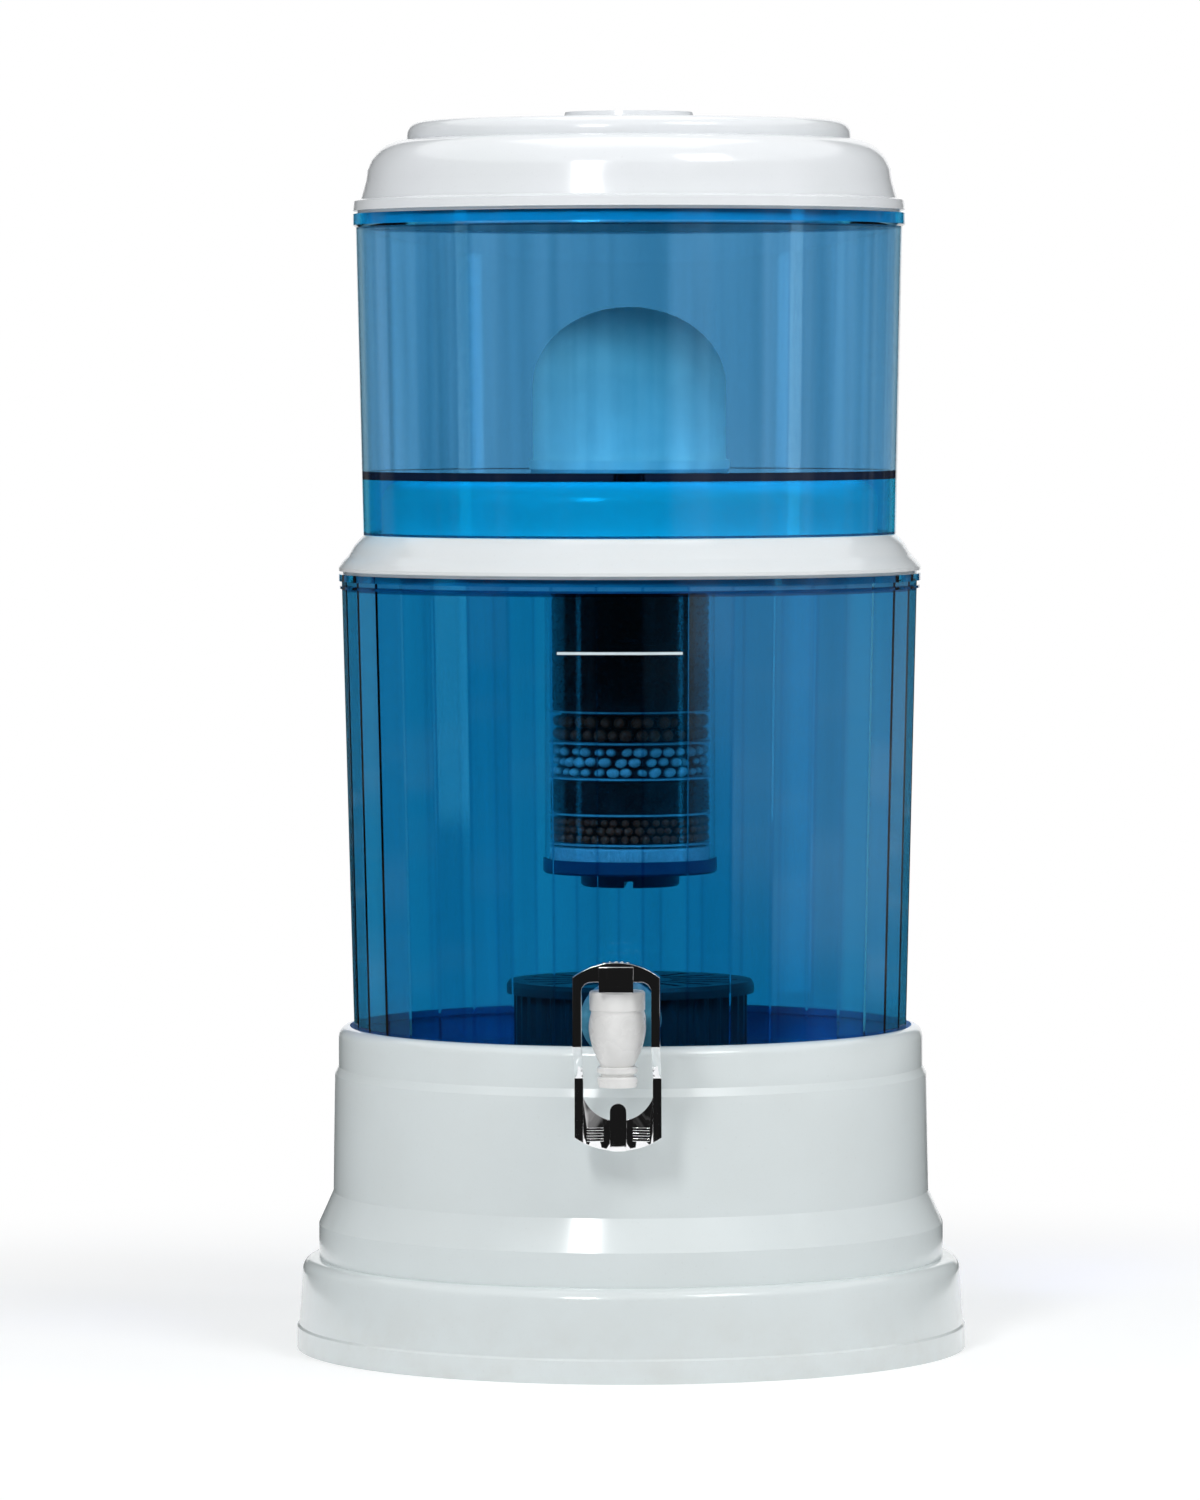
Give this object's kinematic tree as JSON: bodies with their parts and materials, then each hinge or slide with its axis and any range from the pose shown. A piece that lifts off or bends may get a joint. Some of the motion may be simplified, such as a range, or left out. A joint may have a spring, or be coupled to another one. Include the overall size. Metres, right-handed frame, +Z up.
{
  "type": "gravity water filter",
  "caption": "Countertop gravity water filter: two stacked clear blue tanks on a white stepped base, ceramic dome, hanging mineral cartridge, mineral cassette and push-lever tap.",
  "frame": {"origin": "on the tanks' axis, in the plane of the bench that the base's foot ring stands on", "axes": "+Z up along the tanks' axis, the tap points along -Y"},
  "size_m": [0.3, 0.3274, 0.5527],
  "materials": {
    "white_plastic": "gloss",
    "blue_clear_plastic": "clear tinted gloss",
    "clear_plastic": "clear gloss",
    "dome_ceramic": "matte",
    "dish_plastic": "gloss",
    "seal_rubber": "matte",
    "screen_plastic": "matte",
    "carbon_grains": "grains",
    "brown_ceramic": "matte",
    "pale_ceramic": "matte",
    "pad_fibre": "matte",
    "navy_plastic": "gloss",
    "cassette_plastic": "gloss",
    "mineral_stone": "matte",
    "tap_plastic": "gloss",
    "washer_rubber": "matte",
    "bush_plastic": "matte",
    "spring_steel": "satin",
    "lever_chrome": "mirror"
  },
  "bodies": {
    "base": {"base_shell": "white_plastic", "base_deck": "white_plastic"},
    "tank": {"lower_tank": "blue_clear_plastic", "tap_barrel": "tap_plastic", "tap_cap": "tap_plastic", "tap_outer_washer": "washer_rubber", "tap_inner_washer": "washer_rubber", "tap_nut": "tap_plastic"},
    "cassette": {"cassette_case": "cassette_plastic", "cassette_lid": "cassette_plastic", "cassette_stones": "mineral_stone"},
    "cover": {"mid_cover": "white_plastic"},
    "upper": {"upper_tank": "blue_clear_plastic", "dome_filter": "dome_ceramic", "dome_base": "dish_plastic", "dome_gasket": "seal_rubber", "dome_nut": "dish_plastic", "cartridge_head": "dish_plastic", "cartridge_seal": "seal_rubber", "cartridge_housing": "clear_plastic", "media_screens": "screen_plastic", "carbon_upper": "carbon_grains", "mineral_balls_large": "brown_ceramic", "zeolite_balls": "pale_ceramic", "carbon_lower": "carbon_grains", "mineral_balls_small": "brown_ceramic", "filter_pad": "pad_fibre", "cartridge_foot": "navy_plastic"},
    "top": {"lid": "white_plastic"},
    "bush": {"stem_bush": "bush_plastic", "valve_spring": "spring_steel"},
    "valve": {"valve_stem": "bush_plastic", "valve_seal": "seal_rubber", "lever_pin": "spring_steel"},
    "handle": {"lever": "lever_chrome"}
  },
  "joints": [
    {"name": "tank_lift", "type": "slide", "parent": "base", "child": "tank", "axis": [0, 0, 1], "range_m": [0, 0.08]},
    {"name": "cassette_lift", "type": "slide", "parent": "tank", "child": "cassette", "axis": [0, 0, 1], "range_m": [0, 0.035]},
    {"name": "cover_lift", "type": "slide", "parent": "tank", "child": "cover", "axis": [0, 0, 1], "range_m": [0, 0.05]},
    {"name": "upper_lift", "type": "slide", "parent": "cover", "child": "upper", "axis": [0, 0, 1], "range_m": [0, 0.2]},
    {"name": "lid_lift", "type": "slide", "parent": "upper", "child": "top", "axis": [0, 0, 1], "range_m": [0, 0.1]},
    {"name": "lever_swivel", "type": "hinge", "parent": "tank", "child": "bush", "pos_m": [0, -0.16261, 0.1714], "axis": [0, 0, 1], "range_deg": [-8, 8]},
    {"name": "valve_lift", "type": "slide", "parent": "bush", "child": "valve", "axis": [0, 0, 1], "range_m": [0, 0.0016], "deforming": ["valve_spring"]},
    {"name": "lever_tilt", "type": "hinge", "parent": "valve", "child": "handle", "pos_m": [0, -0.16261, 0.1764], "axis": [1, 0, 0], "range_deg": [0, 10], "stiffness_Nm_per_rad": 0.3, "springref_deg": -22.92}
  ],
  "couplings": [
    {"joint": "valve_lift", "follows": "lever_tilt", "m_per_rad": 0.009}
  ]
}
